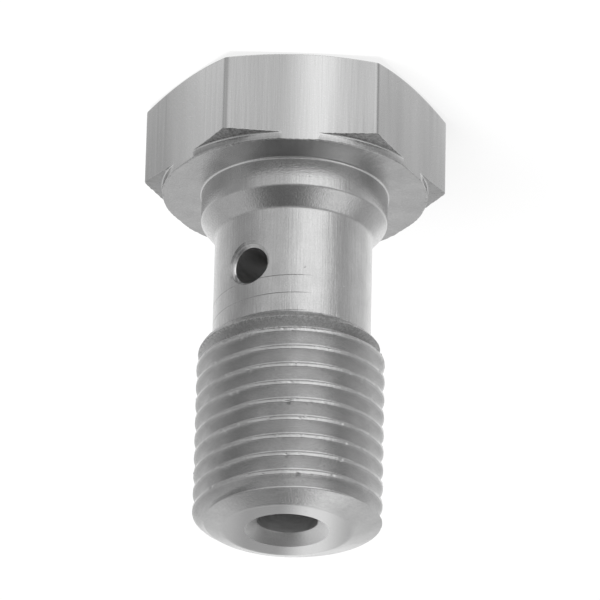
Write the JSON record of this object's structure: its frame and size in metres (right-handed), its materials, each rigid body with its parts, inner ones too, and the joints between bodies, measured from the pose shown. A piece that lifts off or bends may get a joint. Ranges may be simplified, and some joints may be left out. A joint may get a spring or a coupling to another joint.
{
  "type": "banjo bolt",
  "caption": "Hexagon head banjo bolt with a washer face, a waisted shank drilled across, a fine thread and an axial drilling open at the tip.",
  "frame": {"origin": "centre of the head's top face, on which the bolt stands", "axes": "+Z along the bolt's axis from the head to the tip; the flats of the hexagon face along Y"},
  "size_m": [0.0158, 0.0138, 0.0242],
  "materials": {
    "steel": "satin turned and drawn steel"
  },
  "bodies": {
    "root": {"banjo_bolt": "steel"}
  },
  "joints": []
}
